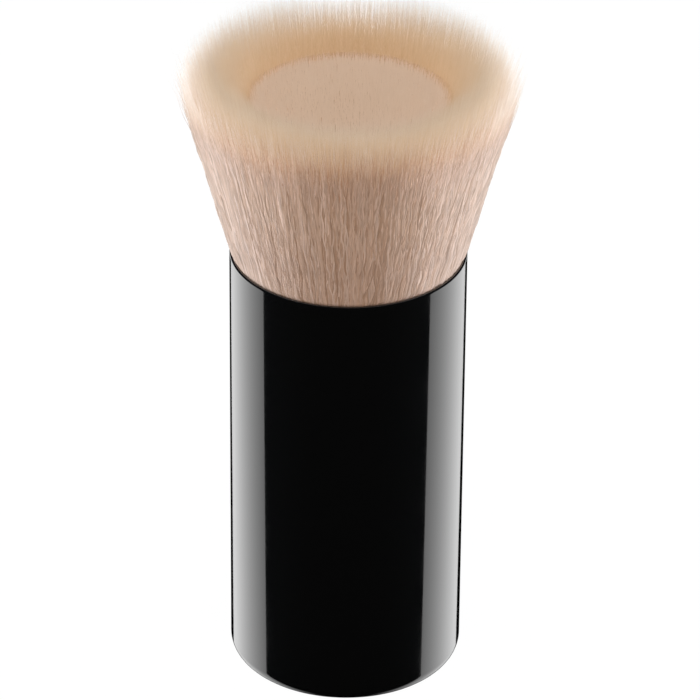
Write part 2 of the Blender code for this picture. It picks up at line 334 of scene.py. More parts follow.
# %% [markdown]
# The barrel is a drawn cup, so its wall is one profile turned round the axis: up the inside, over
# the rolled rim, down the outside and round the foot. A Screw modifier could turn it. Here a turned
# surface is a function of two parameters, the way along the profile and the angle, so its last
# column of faces joins the first and there is no seam to merge. Both edges are quarter circles,
# which catch a thin line of light.

# %% Turned surfaces
MERGE_DISTANCE = 0.001 * MM


def turned(profile, around):
    """Points of a turned surface: (r, z) of a profile goes to (r cos a, r sin a, z) for each angle a."""
    profile = np.asarray(profile, float)
    angle = np.linspace(0.0, 2.0 * np.pi, around, endpoint=False)
    r, z = profile[:, :1], profile[:, 1:]
    return np.stack([r * np.cos(angle), r * np.sin(angle), z + 0.0 * angle], axis=-1)


def turned_object(name, profile, around, material, closed=False):
    """A closed surface: its profile is closed, or ends on the axis, where each row merges into a point."""
    points = turned(profile, around)
    rows = len(points)
    index = np.arange(rows * around).reshape(rows, around)
    if closed:
        index = np.vstack([index, index[:1]])
    right = np.roll(index, -1, axis=1)
    faces = np.stack([index[:-1], index[1:], right[1:], right[:-1]], axis=-1).reshape(-1, 4)
    item = surface_object(name, points.reshape(-1, 3), faces.tolist(), material)
    form = bmesh.new()
    form.from_mesh(item.data)
    bmesh.ops.remove_doubles(form, verts=form.verts, dist=MERGE_DISTANCE)
    bmesh.ops.recalc_face_normals(form, faces=form.faces)
    form.to_mesh(item.data)
    form.free()
    item.data.shade_smooth()
    return item


def quarter(centre_r, centre_z, radius, first, steps=8):
    """Points of a quarter circle in the profile's plane, clockwise from the angle first, in degrees."""
    angle = np.radians(first - 90.0 * np.arange(steps + 1) / steps)
    return np.column_stack([centre_r + radius * np.cos(angle), centre_z + radius * np.sin(angle)])


print("A quarter circle has", len(quarter(0.0, 0.0, MM, 0.0)), "points")

# %% [markdown]
# The lacquer is a sprayed black coat under a clear one, baked hard. The clear coat gives the
# mirror. Its surface isn't perfectly flat: sprayed lacquer keeps a faint orange peel of about a
# millimetre, which makes the edges of a reflection a little uneven. Fingers and polishing leave the
# gloss a little duller in broad soft patches. A picture of scratches could be laid on it, but noise
# at the real sizes needs no map.

# %% Lacquer
PEEL_SIZE = 1.2 * MM
PEEL_DEPTH = 0.05 * MM
POLISH_SIZE = 9.0 * MM
lacquer, tree = new_material("sprayed_black_lacquer")
here = add(tree, "ShaderNodeTexCoord").outputs["Object"]
peel = add(tree, "ShaderNodeTexNoise", inputs={"Vector": here, "Scale": 1.0 / PEEL_SIZE, "Detail": 1.0})
uneven = add(tree, "ShaderNodeBump", inputs={
    "Height": peel.outputs["Fac"],
    "Strength": 0.02,
    "Distance": PEEL_DEPTH,
})
polish = add(tree, "ShaderNodeTexNoise", inputs={
    "Vector": here,
    "Scale": 1.0 / POLISH_SIZE,
    "Detail": 3.0,
})
dullness = add(tree, "ShaderNodeMapRange", inputs={
    "Value": polish.outputs["Fac"],
    "From Min": 0.35,
    "From Max": 0.7,
    "To Min": 0.06,
    "To Max": 0.13,
})
principled("sprayed_black_lacquer", tree, {
    "Base Color": linear("#090909"),
    "Roughness": dullness.outputs["Result"],
    "IOR": 1.5,
    "Normal": uneven.outputs["Normal"],
    "Coat Weight": 1.0,
    "Coat Roughness": 0.02,
    "Coat IOR": 1.5,
    "Coat Normal": uneven.outputs["Normal"],
})

# %% [markdown]
# A drawn cup narrows a little towards its closed end, or it wouldn't leave the tool. Its rim is
# thin and rolled smooth, and its foot has a wider round. The cup's floor is inside, out of sight.

# %% Barrel
RIM_EDGE = 0.3 * MM
FOOT_EDGE = 2.0 * MM
DRAFT = 0.15 * MM
BARREL_FLOOR = 1.0 * MM
BARREL_AROUND = 192
FOOT_STEPS = 12

barrel_profile = np.vstack([
    [(0.0, BARREL_FLOOR), (BORE_RADIUS - DRAFT, BARREL_FLOOR)],
    quarter(BORE_RADIUS + RIM_EDGE, RIM_LEVEL - RIM_EDGE, RIM_EDGE, 180.0),
    quarter(BARREL_RADIUS - RIM_EDGE, RIM_LEVEL - RIM_EDGE, RIM_EDGE, 90.0)[1:],
    quarter(BARREL_RADIUS - DRAFT - FOOT_EDGE, FOOT_LEVEL + FOOT_EDGE, FOOT_EDGE, 0.0, FOOT_STEPS),
    [(0.0, FOOT_LEVEL)],
])
barrel = turned_object("lacquered_barrel", barrel_profile, BARREL_AROUND, lacquer)
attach(barrel, "root")
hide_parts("barrel")
print("Barrel faces:", len(barrel.data.polygons))

# %% [markdown]
# All fibres fan out alike: the line that a fibre follows keeps its share of the whole radius from
# the root to its tip, so no two of these lines cross. Each fibre could be bent by itself instead,
# but then they would pass through one another. The whole radius is a function of the height, and
# the tips' level is a function of that share. At the rim the tuft fills the bore, then spreads over
# the edge.

# %% How the fibres fan out
FLARE = (HEAD_RADIUS - NECK_RADIUS) / (SHOULDER_LEVEL - NECK_LEVEL)
OVER_SHOULDER = 5.0 * MM
UNDER_RIM = 0.4 * MM
OVER_RIM = 0.5 * MM
BORE_GAP = 0.1 * MM
SPREAD_AT_RIM = 0.2 * MM
EDGE_LEFT_BARE = 0.05 * MM
WHOLE_LEVELS = np.array([
    ROOT_LEVEL,
    RIM_LEVEL - UNDER_RIM,
    RIM_LEVEL,
    RIM_LEVEL + OVER_RIM,
    NECK_LEVEL,
    SHOULDER_LEVEL,
    SHOULDER_LEVEL + OVER_SHOULDER,
])
WHOLE_RADII = np.array([
    ROOT_RADIUS,
    BORE_RADIUS - BORE_GAP,
    BORE_RADIUS + SPREAD_AT_RIM,
    BARREL_RADIUS - EDGE_LEFT_BARE,
    NECK_RADIUS,
    HEAD_RADIUS,
    HEAD_RADIUS + OVER_SHOULDER * FLARE,
])


def whole_radius(level):
    """Radius of the tuft at a level, straight between its measured levels."""
    return np.interp(level, WHOLE_LEVELS, WHOLE_RADII)


MIDDLE_SHARE = DISH_RADIUS / whole_radius(DISH_FLOOR_LEVEL)


def ring_tip_level(share):
    """Level of the longest fibres' tips: two parabolas that meet at the crest."""
    radius = share * HEAD_RADIUS
    outer = radius > CREST_RADIUS
    low = np.where(outer, SHOULDER_LEVEL, DISH_FLOOR_LEVEL)
    low_radius = np.where(outer, HEAD_RADIUS, DISH_RADIUS)
    away = (radius - CREST_RADIUS) / (low_radius - CREST_RADIUS)
    return CREST_LEVEL - (CREST_LEVEL - low) * away ** 2


def smooth(value):
    """From 0 to 1 as the value goes from 0 to 1, level at both ends: 3 v squared minus 2 v cubed."""
    value = np.clip(value, 0.0, 1.0)
    return value * value * (3.0 - 2.0 * value)


print("The middle tuft takes", round(float(MIDDLE_SHARE), 3), "of the radius")

# %% [markdown]
# The head has no hard edge. Its fibres are ground to fine long points, so over the last few
# millimetres they cover ever less and light comes through them. A see-through material could fake
# that, but no single hairs would stand in it. The points' width against the distance from the tip
# gives it truly: it grows slowly at first, and fully only where the tuft is to look solid. The tips
# stand a little above the head's profile, because their last millimetre is too fine to be seen, and
# no two stand equally high.

# %% Points of the fibres
TIP_SPREAD = 0.6 * MM
MOST_SPREAD = 1.3 * MM
TIP_LIFT = 1.3 * MM
OUTER_POINT_SHARES = (0.75, 1.3)
POINT_DISTANCES = np.array([0.0, 1.5, 4.3, 7.0, 9.3]) * MM
POINT_WIDTH_SHARES = np.array([0.0, 0.045, 0.13, 0.34, 1.0])


def point_width(from_tip, half_width):
    """Half width of a fibre at a distance from its tip, straight between the widths of its point."""
    return half_width * np.interp(from_tip, POINT_DISTANCES, POINT_WIDTH_SHARES)


def fringe_depth(share):
    """Length of the points at a share of the radius: a smooth step from none at the dish to the crest."""
    way_up_wall = (share * HEAD_RADIUS - DISH_RADIUS) / (CREST_RADIUS - DISH_RADIUS)
    return POINT_DISTANCES[-1] * smooth(way_up_wall)


def draw_tips(share):
    """Tip levels: the profile's, lifted at the crest, and spread by a normal law within a bound."""
    lift = TIP_LIFT * fringe_depth(share) / POINT_DISTANCES[-1]
    spread = np.clip(rng.normal(0.0, TIP_SPREAD, len(share)), -MOST_SPREAD, MOST_SPREAD)
    return ring_tip_level(share) + lift + spread


print("A fibre is full", round(POINT_DISTANCES[-1] / MM, 1), "mm under its tip")

# %% [markdown]
# A fibre is a thin three-sided tube along a curve, drawn out to a point. Blender's hair would be
# quicker to set up, but it is no mesh, and a model for others to use needs one. Thousands of tubes
# are computed at once as whole arrays: a grid of fibre number by station along the fibre. Each
# carries its own map, called OFBake: across it runs the fibre's tint, and up it runs the distance
# from the tip, which drives the colour. The outermost fibres are drawn about twice as thick as real
# ones, which would be too fine to show.
#
# Real fibres let light through, so a tuft has no deep dark gaps. Solid tubes would have them, so
# neither the fibres nor the turned body behind them cast a shadow here.

# %% Tubes as arrays
SIDES = 3
TINTS = 192
TINT_WIDTH = 0.8
LENGTH_ON_MAP = 32.0 * MM
TURN_PER_TINT = 2.399
ROOT_FACE_SHARE = 0.25


def tube_corners(centres, half_widths, tints):
    """Corner k of a station lies half a width from its centre, at 120 degrees times k plus a turn.

    The turn is the tint's number times the golden angle, so that neighbours show different sides. Gives
    the corners and their directions, both as fibre, station, corner and (x, y, z).
    """
    count, stations = half_widths.shape
    turn = (tints * TURN_PER_TINT)[:, None, None]
    third = np.arange(SIDES)[None, None, :] * (2.0 * np.pi / SIDES)
    angle = turn + third + np.zeros((count, stations, 1))
    out = np.stack([np.cos(angle), np.sin(angle), 0.0 * angle], axis=-1)
    return centres[:, :, None, :] + half_widths[:, :, None, None] * out, out


def tube_faces(count, rings):
    """Four-sided faces between rings of corners, then the triangles of the tip and the closed root."""
    per_fibre = rings * SIDES + 1
    start = (np.arange(count) * per_fibre)[:, None, None]
    ring = np.arange(rings - 1)[None, :, None] * SIDES
    side = np.arange(SIDES)[None, None, :]
    after = (side + 1) % SIDES
    a, b = start + ring + side, start + ring + after
    quads = np.stack([a, b, b + SIDES, a + SIDES], axis=-1).reshape(count, -1, 4)
    last = start[:, :, 0] + (rings - 1) * SIDES
    tip = start[:, :, 0] + per_fibre - 1 + 0 * side[0]
    tips = np.stack([last + side[0], last + after[0], tip], axis=-1)
    root = start[:, 0, 0][:, None, None] + np.array([[2, 1, 0]])[None]
    return quads, np.concatenate([tips, root], axis=1)


def tube_map(tints, up):
    """The map's corners for the faces of tube_faces; up is 1 at the tip and falls along the fibre."""
    count, stations = up.shape
    rings = stations - 1
    left = (tints[:, None] + (1.0 - TINT_WIDTH) / 2) / TINTS
    right = left + TINT_WIDTH / TINTS
    middle = (left + right) / 2
    low = np.repeat(up[:, : rings - 1, None], SIDES, axis=2).reshape(count, -1)
    high = np.repeat(up[:, 1:rings, None], SIDES, axis=2).reshape(count, -1)
    wide = np.ones_like(low)
    quad_corners = [(left * wide, low), (right * wide, low), (right * wide, high), (left * wide, high)]
    quads = np.stack([np.stack(corner, axis=-1) for corner in quad_corners], axis=2)
    three = np.ones((1, SIDES))
    last = up[:, rings - 1: rings] * three
    tip_corners = [(left * three, last), (right * three, last), (middle * three, up[:, -1:] * three)]
    tips = np.stack([np.stack(corner, axis=-1) for corner in tip_corners], axis=2)
    inward = up[:, :1] + ROOT_FACE_SHARE * (up[:, 1:2] - up[:, :1])
    root_corners = [(middle, inward), (right, up[:, :1]), (left, up[:, :1])]
    root = np.stack([np.stack(corner, axis=-1) for corner in root_corners], axis=2)
    return quads, np.concatenate([tips, root], axis=1)


print("A tint takes", round(LENGTH_ON_MAP / MM), "mm of fibre, on one of", TINTS, "strips of the map")

# %% [markdown]
# All the fibres of a piece are one mesh, as thousands of objects would be slow to handle. Fine
# fibres scatter light among themselves, so a real tuft is shaded as one soft body and not hair by
# hair. Three flat sides would glitter instead, so each corner takes most of its normal from the
# tuft as a whole.

# %% Fibres as one object
def fibre_object(name, centres, half_widths, tints, on_map, tuft_normals, own_share, material):
    """A mesh object of many fibres.

    centres and tuft_normals are arrays of fibre, station and (x, y, z); half_widths and on_map, the
    distance that drives the colour, are arrays of fibre and station; tints is one whole number a fibre.
    The last station is a point. A normal is the corner's own direction by own_share, and for the rest the
    whole tuft's normal there.
    """
    count, stations = half_widths.shape
    rings = stations - 1
    corners, out = tube_corners(centres[:, :rings], half_widths[:, :rings], tints)
    points = np.concatenate([corners.reshape(count, rings * SIDES, 3), centres[:, -1:, :]], axis=1)
    soft = own_share * out + (1.0 - own_share) * tuft_normals[:, :rings, None, :]
    normals = np.concatenate([soft.reshape(count, rings * SIDES, 3), tuft_normals[:, -1:, :]], axis=1)
    normals = (normals / np.linalg.norm(normals, axis=-1, keepdims=True)).reshape(-1, 3)
    quads, triangles = tube_faces(count, rings)
    quad_map, triangle_map = tube_map(tints, 1.0 - np.clip(on_map / LENGTH_ON_MAP, 0.0, 1.0))
    corner_index = np.concatenate([quads.reshape(-1), triangles.reshape(-1)])
    sizes = np.repeat([4, 3], [quads.size // 4, triangles.size // 3])
    starts = np.cumsum(sizes) - sizes
    uvs = np.concatenate([quad_map.reshape(-1, 2), triangle_map.reshape(-1, 2)])

    mesh = bpy.data.meshes.new(name)
    mesh.vertices.add(points.shape[0] * points.shape[1])
    mesh.vertices.foreach_set("co", points.reshape(-1).astype(np.float32))
    mesh.loops.add(len(corner_index))
    mesh.loops.foreach_set("vertex_index", corner_index.astype(np.int32))
    mesh.polygons.add(len(sizes))
    mesh.polygons.foreach_set("loop_start", starts.astype(np.int32))
    mesh.uv_layers.new(name="OFBake")
    mesh.uv_layers["OFBake"].data.foreach_set("uv", uvs.reshape(-1).astype(np.float32))
    mesh.update(calc_edges=True)
    mesh.shade_smooth()
    mesh.normals_split_custom_set_from_vertices(normals)
    mesh.materials.append(material)
    item = bpy.data.objects.new(name, mesh)
    item.visible_shadow = False
    bpy.context.scene.collection.objects.link(item)
    print(name, "has", count, "fibres and", int((sizes - 2).sum()), "triangles")
    return item


# %% [markdown]
# The fibres are fine polyester, dip-dyed. Each strip of the map is one tint, lighter or darker, as no
# two fibres dye alike, and the lighter ones are also paler in colour, a painted sheen on the pale
# strands. A crimped fibre catches the light where it turns, every couple of millimetres; a noise along
# it paints these bright and dark spots into the colour at random. Towards the tips all this evens
# out, because the points blend. A sheen gives the pale edge that soft fibres have where they are seen
# aslant. A picture of hair could be laid on one smooth body, but it would have no fringe.

# %% Fibre material
PAINTED_GLINT_LENGTH = 2.2 * MM
STRIP_APART = 7.31
NOISE_LOW = 0.3
NOISE_HIGH = 0.7
SATURATION_SHARE = 0.7
EVEN_LENGTH = 6.0 * MM
EVEN_SHARE = 0.25


def fibre_material(name, stops, contrast, painted_glint, sheen):
    """Dyed polyester fibre: colour from the distance on its map, lighter or darker from strip to strip.

    stops are (millimetres, hex colour) pairs; contrast is the swing in lightness from tint to tint, and
    glint the swing in lightness along a fibre, painted highlights and shade in its colour.
    """
    material, tree = new_material(name)
    place = add(tree, "ShaderNodeUVMap", {"uv_map": "OFBake"})
    parts = add(tree, "ShaderNodeSeparateXYZ", inputs={"Vector": place.outputs["UV"]})
    positions = [(1.0 - mm * MM / LENGTH_ON_MAP, colour) for mm, colour in stops]
    dye = add(tree, "ShaderNodeValToRGB", inputs={"Fac": parts.outputs["Y"]}, stops=positions)
    strips = add(tree, "ShaderNodeMath", {"operation": "MULTIPLY"}, {
        0: parts.outputs["X"],
        1: float(TINTS),
    })
    strip = add(tree, "ShaderNodeMath", {"operation": "FLOOR"}, {0: strips.outputs["Value"]})
    apart = add(tree, "ShaderNodeMath", {"operation": "MULTIPLY"}, {
        0: strip.outputs["Value"],
        1: STRIP_APART,
    })
    along = add(tree, "ShaderNodeMath", {"operation": "MULTIPLY"}, {
        0: parts.outputs["Y"],
        1: LENGTH_ON_MAP / PAINTED_GLINT_LENGTH,
    })
    spot = add(tree, "ShaderNodeCombineXYZ", inputs={
        "X": apart.outputs["Value"],
        "Y": along.outputs["Value"],
    })
    # Painted highlights and shade: a noise along each fibre, one pattern a strip, lightens and darkens its
    # colour every couple of millimetres.
    painted_glint_noise = add(tree, "ShaderNodeTexNoise", {"noise_dimensions": "2D"}, {
        "Vector": spot.outputs["Vector"],
        "Scale": 1.0,
        "Detail": 1.0,
    })
    painted_glint_swing = add(tree, "ShaderNodeMapRange", inputs={
        "Value": painted_glint_noise.outputs["Fac"],
        "From Min": NOISE_LOW,
        "From Max": NOISE_HIGH,
        "To Min": -painted_glint,
        "To Max": painted_glint,
    })
    tint = add(tree, "ShaderNodeMapRange", inputs={
        "Value": parts.outputs["X"],
        "To Min": -contrast,
        "To Max": contrast,
    })
    swing = add(tree, "ShaderNodeMath", {"operation": "ADD"}, {
        0: tint.outputs["Result"],
        1: painted_glint_swing.outputs["Result"],
    })
    body = add(tree, "ShaderNodeMapRange", inputs={
        "Value": parts.outputs["Y"],
        "From Min": 1.0,
        "From Max": 1.0 - EVEN_LENGTH / LENGTH_ON_MAP,
        "To Min": EVEN_SHARE,
        "To Max": 1.0,
    })
    light = add(tree, "ShaderNodeMath", {"operation": "MULTIPLY_ADD"}, {
        0: swing.outputs["Value"],
        1: body.outputs["Result"],
        2: 1.0,
    })
    # Lighter tints are also less saturated, a painted sheen on the pale strands, and darker ones more
    # saturated.
    fade = add(tree, "ShaderNodeMapRange", inputs={
        "Value": parts.outputs["X"],
        "To Min": 1.0 + SATURATION_SHARE * contrast,
        "To Max": 1.0 - SATURATION_SHARE * contrast,
    })
    shade = add(tree, "ShaderNodeHueSaturation", inputs={
        "Color": dye.outputs["Color"],
        "Saturation": fade.outputs["Result"],
        "Value": light.outputs["Value"],
    })
    principled(name, tree, {
        "Base Color": shade.outputs["Color"],
        "Roughness": 0.55,
        "Specular IOR Level": 0.3,
        "Sheen Weight": sheen,
        "Sheen Roughness": 0.45,
    })
    return material


# %% [markdown]
# The dye is taupe along the body and cream at the drawn-out tips. The long fibres' taupe grows darker
# towards the root, which is painted shade near the rim. Round the dish the colour turns gold and
# darker deeper under the crest, which is painted shade of the dish's wall. Each zone of the head has
# its own stops, in millimetres from the tip. The long fibres of the flank vary most, and those near
# the dish hardly at all.

# %% Dyes of the head's zones
# The long fibres' darker stop deep down is painted shade near the rim.
LONG_DYE_AND_ROOT_SHADE = [
    (23.0, "#C09A81"),
    (12.0, "#CAA48A"),
    (6.5, "#C8A187"),
    (4.0, "#CCA98F"),
    (2.0, "#D8C0AA"),
    (0.0, "#EADFD3"),
]
SHOULDER_DYE = [
    (12.0, "#B88F74"),
    (6.5, "#B68D71"),
    (4.0, "#BE997C"),
    (2.0, "#D6BCA4"),
    (0.0, "#EADFD3"),
]
# The ring's gold, darker deeper under the crest, is painted shade of the dish's wall.
RING_DYE_AND_WALL_SHADE = [(8.0, "#C4986B"), (3.8, "#CFAA83"), (1.8, "#D9B996"), (0.0, "#E9D8C4")]
MIDDLE_DYE = [(8.0, "#D2B092"), (3.0, "#DFBFA3"), (0.0, "#DDBDA2")]
long_dyed = fibre_material("dyed_long_polyester_fibre", LONG_DYE_AND_ROOT_SHADE, contrast=0.27, painted_glint=0.10, sheen=0.5)
shoulder_dyed = fibre_material(
    "dyed_shoulder_polyester_fibre", SHOULDER_DYE, contrast=0.12, painted_glint=0.05, sheen=0.35
)
ring_dyed = fibre_material(
    "dyed_ring_polyester_fibre", RING_DYE_AND_WALL_SHADE, contrast=0.06, painted_glint=0.04, sheen=0.35
)
middle_dyed = fibre_material(
    "dyed_middle_polyester_fibre", MIDDLE_DYE, contrast=0.06, painted_glint=0.0, sheen=0.2
)

# %% [markdown]
# A dense tuft doesn't hang in single hairs. Its fibres cling together in locks by a slight wave and
# by static, and part again at the tips. Physics could work that out, but slowly. So a fibre's place
# is drawn at random, then pulled towards the middle of its lock along its body, and given a wave of
# its own. Some of the outermost ones stand off from the rest.

# %% Fibre centre lines
rng = np.random.default_rng(7)
BUNDLES = 8
SWEEP = 2.0 * np.pi / BUNDLES
START_LEVEL = RIM_LEVEL - 0.6 * MM
LOCK_SHIFT = 0.5
LONG_TURNS = (0.6, 1.6)
SHORT_TURNS = (4.0, 8.0)
REACH_SHARES = (0.3, 1.0)
SHORT_WAVE_SHARE = 0.45
LONG_DEPTH_SHARE = 0.5
SHORT_DEPTH_SHARE = 0.35
FREE_HEIGHT = 0.2
MOST_HEIGHT = 1.2


def station_levels(low, high, stations, start=None):
    """Levels of the stations of each fibre, evenly spaced, or with one root and the rest above start."""
    if start is None:
        return low[:, None] + (high - low)[:, None] * np.linspace(0.0, 1.0, stations)[None, :]
    above = start + (high - start)[:, None] * np.linspace(0.0, 1.0, stations - 1)[None, :]
    return np.concatenate([low[:, None], above], axis=1)


def scatter(number):
    """A share from 0 to 1 for a whole number: what a large multiple of its sine has after the point."""
    value = np.sin(number * 12.9898 + 4.1) * 43758.5453
    return value - np.floor(value)


def centre_lines(share, angle, level, locks, pull, wave, lean, splay):
    """Centre lines of fibres, as an array of fibre, station and (x, y, z).

    A fibre stands at share times the whole radius and at angle. Its way up is u from 0 to 1. The pull to
    the lock is pull sin(pi u ** 0.8), nothing at both ends. A long and a short sine move it sideways, and
    two more in and out, all by unlike multiples of one random phase. It leans sideways by a random reach
    that grows with u, and it stands off by splay times the square of its height over the rim.
    """
    count = len(share)
    low, high = level[:, :1], level[:, -1:]
    u = (level - low) / (high - low)
    pitch = 2.0 * np.pi / locks
    lock = np.floor(angle / pitch)
    centre = (lock + 0.5 + LOCK_SHIFT * (scatter(lock) - 0.5)) * pitch
    hold = pull * np.sin(np.pi * u ** 0.8)
    long_turns = rng.uniform(*LONG_TURNS, count)[:, None]
    short_turns = rng.uniform(*SHORT_TURNS, count)[:, None] * (high - low) / LENGTH_ON_MAP
    phase = rng.uniform(0.0, 2.0 * np.pi, count)[:, None]
    reach = wave * rng.uniform(*REACH_SHARES, count)[:, None]
    tilt = lean * rng.normal(0.0, 1.0, count)[:, None]
    long_way = 2.0 * np.pi * long_turns * u
    short_way = 2.0 * np.pi * short_turns * u
    sideways = reach * (np.sin(long_way + phase) - np.sin(phase))
    sideways = sideways + SHORT_WAVE_SHARE * reach * np.sin(short_way + 2.1 * phase)
    height = np.clip((level - RIM_LEVEL) / (SHOULDER_LEVEL - RIM_LEVEL), 0.0, MOST_HEIGHT)
    radius = share[:, None] * whole_radius(level) * (1.0 + splay[:, None] * height ** 2)
    a = angle[:, None] + (centre - angle)[:, None] * hold + (sideways + tilt * u) / radius
    in_and_out = LONG_DEPTH_SHARE * reach * u * np.cos(long_way + 1.7 * phase)
    free = np.clip(height / FREE_HEIGHT, 0.0, 1.0)
    in_and_out = in_and_out + SHORT_DEPTH_SHARE * reach * free * np.cos(short_way + 0.6 * phase)
    radius = radius + in_and_out
    return np.stack([radius * np.cos(a), radius * np.sin(a), level], axis=-1)


print("The tuft flares by", round(math.degrees(math.atan(FLARE)), 1), "degrees")

# %% [markdown]
# The tuft as a whole is a short column with a rounded shoulder and a dish in its top. Its normal is
# worked out from a fibre's share of the radius and from the depth under the tips, because no smooth
# body of this shape is in the scene from which the normals could be taken.

# %% The tuft's own normal
TURN_START = 0.5 * MM
TURN_DEPTH = 6.0 * MM
FLANK_FROM = 0.9
FLANK_WIDTH = 0.05
TOP_TURN = 0.5
TOP_TURN_FROM = 0.75
WALL_TURN = math.radians(14.0)
DISH_EDGE = 0.02


def tuft_normal(lines, share):
    """Normal of the tuft as a whole: up on its top, leaning out towards the edge, and the flank's below.

    On the wall of the dish it leans in, by an angle that grows evenly from the crest to the floor.
    """
    angle = np.arctan2(lines[..., 1], lines[..., 0])
    depth = ring_tip_level(share)[:, None] - lines[..., 2]
    outermost = np.clip((share - FLANK_FROM) / FLANK_WIDTH, 0.0, 1.0)[:, None]
    edge = TOP_TURN * smooth((share - TOP_TURN_FROM) / (1.0 - TOP_TURN_FROM))[:, None]
    flank = 1.0 - (1.0 - edge) * (1.0 - outermost * smooth((depth + TURN_START) / TURN_DEPTH))
    inside_crest = (CREST_RADIUS - share * HEAD_RADIUS) / (CREST_RADIUS - DISH_RADIUS)
    down_wall = np.clip(inside_crest, 0.0, 1.0)
    inward = WALL_TURN * (down_wall * smooth((share - MIDDLE_SHARE) / DISH_EDGE))[:, None]
    tilt = flank * (0.5 * np.pi + np.arctan(FLARE)) - inward
    return np.stack([np.sin(tilt) * np.cos(angle), np.sin(tilt) * np.sin(angle), np.cos(tilt)], axis=-1)


print("The dish's wall leans in by", round(math.degrees(WALL_TURN)), "degrees at its foot")

# %% [markdown]
# Where a fibre stands and how it took the dye are drawn at random, from one seed, so each run gives
# the same brush. A few fibres are far darker and a few locks far lighter than the rest, which gives
# the flank its streaks. The far lighter locks are partly their own tone and partly painted highlights
# of strands that catch the light. A regular pattern would look woven.

# %% Drawing places and tints
STRAND_SHARE = 0.05
HIGHLIGHT_STRAND_TINT = 0.35
DARK_SHARE = 0.08
DARK_TINT = -0.35
TINT_MIDDLE = 0.45
OWN_TINT_SPREAD = 0.07
LOCK_TINT_SPREAD = 0.17
LOCK_SIZE = 0.3 * MM
LOCK_COUNT = 4096
COLUMN_STEP = 571
ROW_STEP = 1193
lock_tints = rng.normal(0.0, LOCK_TINT_SPREAD, LOCK_COUNT)
# The far lighter locks are partly their own tone and partly painted highlights of strands that catch the
# light.
lock_tints[rng.uniform(0.0, 1.0, len(lock_tints)) < STRAND_SHARE] = HIGHLIGHT_STRAND_TINT


def draw_in_ring(count, first, inner_share, outer_share):
    """Random places in one bundle's slice of a ring, spread evenly over its area."""
    share = np.sqrt(rng.uniform(inner_share ** 2, outer_share ** 2, count))
    return share, first + rng.uniform(0.0, SWEEP, count)


def draw_tints(share, angle):
    """Tints round the middle of the map; a few fibres are far darker and a few locks far lighter.

    A lock is a square cell of the head's plan. Its number picks a shift from a table, and its fibres
    share it.
    """
    radius = share * HEAD_RADIUS
    column = np.floor(radius * np.cos(angle) / LOCK_SIZE).astype(int)
    row = np.floor(radius * np.sin(angle) / LOCK_SIZE).astype(int)
    lock = (column * COLUMN_STEP + row * ROW_STEP) % LOCK_COUNT
    own = rng.normal(0.0, OWN_TINT_SPREAD, len(share))
    own = own + DARK_TINT * (rng.uniform(0.0, 1.0, len(share)) < DARK_SHARE)
    tint = TINT_MIDDLE + own + lock_tints[lock]
    return np.clip(tint * TINTS, 0, TINTS - 1).astype(int)


print("Far lighter locks:", int(np.sum(lock_tints == HIGHLIGHT_STRAND_TINT)), "of", LOCK_COUNT)

# %% [markdown]
# The head's long fibres come in eight bundles. The outermost ones are modelled from their roots in
# the handle, because the flank shows them whole. Most are drawn in a little towards the tips, as a
# brush is pressed into shape, and a few stand off.

# %% Outer fibres, at full length
OUTER_PER_BUNDLE = 520
OUTER_INNER_SHARE = 0.935
OUTER_SHARE = 0.99
OUTER_STATIONS = 24
OUTER_HALF_WIDTH = 0.12 * MM
OUTER_LOCKS = 300
OUTER_PULL = 0.25
OUTER_WAVE = 0.4 * MM
OUTER_LEAN = 1.0 * MM
SPLAY = 0.022
MOST_SPLAY = 0.052
DRAW_IN = 0.012
OWN_NORMAL_SHARE = 0.15


def outer_fibres(bundle):
    """The full-length fibres that the flank shows, in one bundle.

    Their tips are drawn in a little, and some stand off by an exponential law. Their points differ in
    length.
    """
    first = SWEEP * (bundle - 1)
    share, angle = draw_in_ring(OUTER_PER_BUNDLE, first, OUTER_INNER_SHARE, OUTER_SHARE)
    tip = draw_tips(share)
    level = station_levels(np.full(len(share), ROOT_LEVEL), tip, OUTER_STATIONS, START_LEVEL)
    splay = np.minimum(rng.exponential(SPLAY, len(share)), MOST_SPLAY) - DRAW_IN
    lines = centre_lines(share, angle, level, OUTER_LOCKS, OUTER_PULL, OUTER_WAVE, OUTER_LEAN, splay)
    from_tip = tip[:, None] - level
    point_share = rng.uniform(*OUTER_POINT_SHARES, len(share))[:, None]
    widths = point_width(from_tip / point_share, OUTER_HALF_WIDTH)
    normals = tuft_normal(lines, share)
    tints = draw_tints(share, angle)
    name = f"outer_fibres_{bundle}"
    return fibre_object(name, lines, widths, tints, from_tip, normals, OWN_NORMAL_SHARE, long_dyed)


# %% [markdown]
# Of the fibres between the flank and the dish only the upper ends can be seen, so only these are
# modelled, which leaves room for many more of them. They take the ring's gold, darker deeper down as
# painted shade of the dish's wall, and outside the crest ever more of them the colour of the shoulder.

# %% Ring fibres, whose tips stand round the dish
RING_PER_BUNDLE = 5600
RING_HALF_WIDTH = 0.05 * MM
RING_LOCKS = 160
RING_PULL = 0.05
RING_WAVE = 0.1 * MM
RING_LEAN = 0.15 * MM
SHORTEST_POINT_SHARE = 0.3
INSIDE_SHADE_DEPTH = 1.5 * MM
POINT_DYE_SHARE = 0.6
SHOULDER_MIX = 3.0 * MM
SHOULDER_DYE_SHARE = 1.1


def dye_and_shade_depth(share, from_tip):
    """What drives a ring fibre's colour: its tip's depth under the crest and a share of the way from it.

    The deeper, the darker and more golden the colour, which is painted shade of the dish's wall. On the
    wall of the dish it is a little more, by a smooth step of the radius.
    """
    inside = smooth((CREST_RADIUS - share * HEAD_RADIUS) / (CREST_RADIUS - DISH_RADIUS))
    under_crest = CREST_LEVEL - ring_tip_level(share) + INSIDE_SHADE_DEPTH * inside
    return under_crest[:, None] + POINT_DYE_SHARE * from_tip


